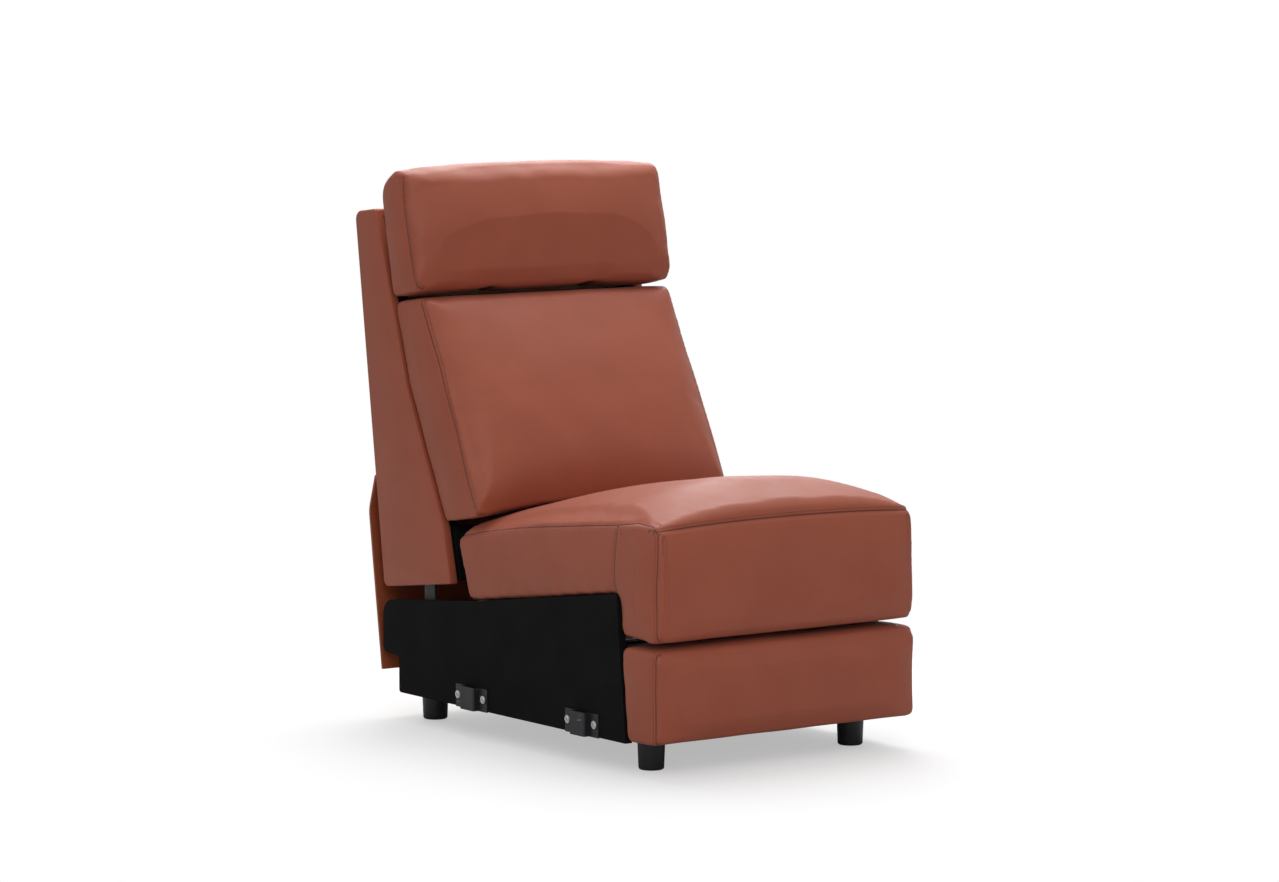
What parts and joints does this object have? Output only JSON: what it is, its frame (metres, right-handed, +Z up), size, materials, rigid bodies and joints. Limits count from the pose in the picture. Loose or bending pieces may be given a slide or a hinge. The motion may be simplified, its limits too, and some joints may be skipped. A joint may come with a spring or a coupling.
{
  "type": "armless recliner",
  "caption": "Armless reclining chair with gliding seat, lazy-tong footrest, tilting headrest, lumbar cushion, hanging rear flap and side connectors.",
  "frame": {"origin": "on the floor under the middle of the chair's bounding box, with the back upright and the footrest in", "axes": "+Z up, the sitter faces -Y, +X to the right as seen from the front"},
  "size_m": [0.628, 0.9901, 1.078],
  "materials": {
    "brick_leather": "satin",
    "black_cloth": "matte",
    "webbing": "matte",
    "timber": "matte",
    "dark_steel": "satin",
    "zinc": "satin",
    "foot_plastic": "satin"
  },
  "bodies": {
    "base": {"side_board_left": "black_cloth", "side_board_right": "black_cloth", "base_rail_front": "timber", "base_rail_middle": "timber", "base_rail_rear_low": "timber", "base_rail_rear_top": "timber", "foot_plates_front": "dark_steel", "foot_plates_rear": "dark_steel", "foot_front_left": "foot_plastic", "foot_front_right": "foot_plastic", "foot_rear_left": "foot_plastic", "foot_rear_right": "foot_plastic", "connectors_front": "dark_steel", "connectors_rear": "dark_steel", "connector_screws": "zinc", "mechanism_rails": "dark_steel"},
    "front_links": {"glide_links_front": "dark_steel", "glide_tube_front": "dark_steel"},
    "rear_links": {"glide_links_rear": "dark_steel", "glide_tube_rear": "dark_steel"},
    "seat": {"seat_plates": "dark_steel", "seat_side_rails": "timber", "seat_rail_front": "timber", "seat_rail_rear": "timber", "seat_webbing": "webbing", "seat_border": "brick_leather", "seat_cushion": "brick_leather"},
    "back": {"back_shell": "brick_leather", "back_stiles": "timber", "back_rail_upper": "timber", "back_rail_top": "timber", "back_rail_lower": "timber", "back_webbing": "webbing", "back_lower_cloth": "black_cloth", "back_posts": "dark_steel", "lumbar_cushion": "brick_leather", "headrest_arms": "dark_steel"},
    "headrest": {"headrest_board": "timber", "headrest_ears": "dark_steel", "headrest_cushion": "brick_leather"},
    "flap": {"rear_flap": "brick_leather"},
    "tong_carrier": {"tong_bars_carrier": "dark_steel"},
    "tong_slider": {"tong_bars_slider": "dark_steel"},
    "tong_riser": {"tong_bars_riser": "dark_steel"},
    "tong_faller": {"tong_bars_faller": "dark_steel"},
    "tong_stay": {"tong_bars_stay": "dark_steel"},
    "footrest": {"tong_bars_leader": "dark_steel", "footrest_tube": "dark_steel", "footrest_brackets": "dark_steel", "footrest_board": "timber", "footrest_pad": "brick_leather"}
  },
  "joints": [
    {"name": "back_recline", "type": "hinge", "parent": "seat", "child": "back", "pos_m": [0, 0.27, 0.215], "axis": [-1, 0, 0], "range_deg": [0, 25]},
    {"name": "front_glide", "type": "hinge", "parent": "base", "child": "front_links", "pos_m": [0, -0.245, 0.095], "axis": [1, 0, 0], "range_deg": [0, 45]},
    {"name": "seat_level", "type": "hinge", "parent": "front_links", "child": "seat", "pos_m": [0, -0.14541, 0.17856], "axis": [1, 0, 0], "range_deg": [-45, 0]},
    {"name": "rear_glide", "type": "hinge", "parent": "base", "child": "rear_links", "pos_m": [0, 0.105, 0.095], "axis": [1, 0, 0], "range_deg": [0, 45]},
    {"name": "flap_hang", "type": "hinge", "parent": "back", "child": "flap", "pos_m": [0, 0.4305, 0.467], "axis": [1, 0, 0], "range_deg": [0, 25]},
    {"name": "tong_swing", "type": "hinge", "parent": "seat", "child": "tong_carrier", "pos_m": [0, -0.325, 0.217], "axis": [1, 0, 0], "range_deg": [-74, 0]},
    {"name": "tong_slide", "type": "hinge", "parent": "tong_carrier", "child": "tong_slider", "pos_m": [0, -0.33509, 0.14521], "axis": [1, 0, 0], "range_deg": [0, 148]},
    {"name": "tong_rise", "type": "hinge", "parent": "tong_carrier", "child": "tong_riser", "pos_m": [0, -0.34518, 0.07341], "axis": [1, 0, 0], "range_deg": [0, 148]},
    {"name": "tong_fall", "type": "hinge", "parent": "tong_slider", "child": "tong_faller", "pos_m": [0, -0.34518, 0.217], "axis": [1, 0, 0], "range_deg": [-148, 0]},
    {"name": "tong_stay_turn", "type": "hinge", "parent": "tong_faller", "child": "tong_stay", "pos_m": [0, -0.36536, 0.07341], "axis": [1, 0, 0], "range_deg": [0, 148]},
    {"name": "footrest_turn", "type": "hinge", "parent": "tong_riser", "child": "footrest", "pos_m": [0, -0.36536, 0.217], "axis": [1, 0, 0], "range_deg": [-148, 0]},
    {"name": "headrest_tilt", "type": "hinge", "parent": "back", "child": "headrest", "pos_m": [0, 0.306, 0.859], "axis": [1, 0, 0], "range_deg": [0, 30]}
  ],
  "couplings": [
    {"joint": "front_glide", "follows": "back_recline", "ratio": 1.8},
    {"joint": "seat_level", "follows": "back_recline", "ratio": -1.8},
    {"joint": "rear_glide", "follows": "back_recline", "ratio": 1.8},
    {"joint": "flap_hang", "follows": "back_recline", "ratio": 1},
    {"joint": "tong_swing", "follows": "back_recline", "ratio": -2.96},
    {"joint": "tong_slide", "follows": "back_recline", "ratio": 5.92},
    {"joint": "tong_rise", "follows": "back_recline", "ratio": 5.92},
    {"joint": "tong_fall", "follows": "back_recline", "ratio": -5.92},
    {"joint": "tong_stay_turn", "follows": "back_recline", "ratio": 5.92},
    {"joint": "footrest_turn", "follows": "back_recline", "ratio": -5.92}
  ]
}
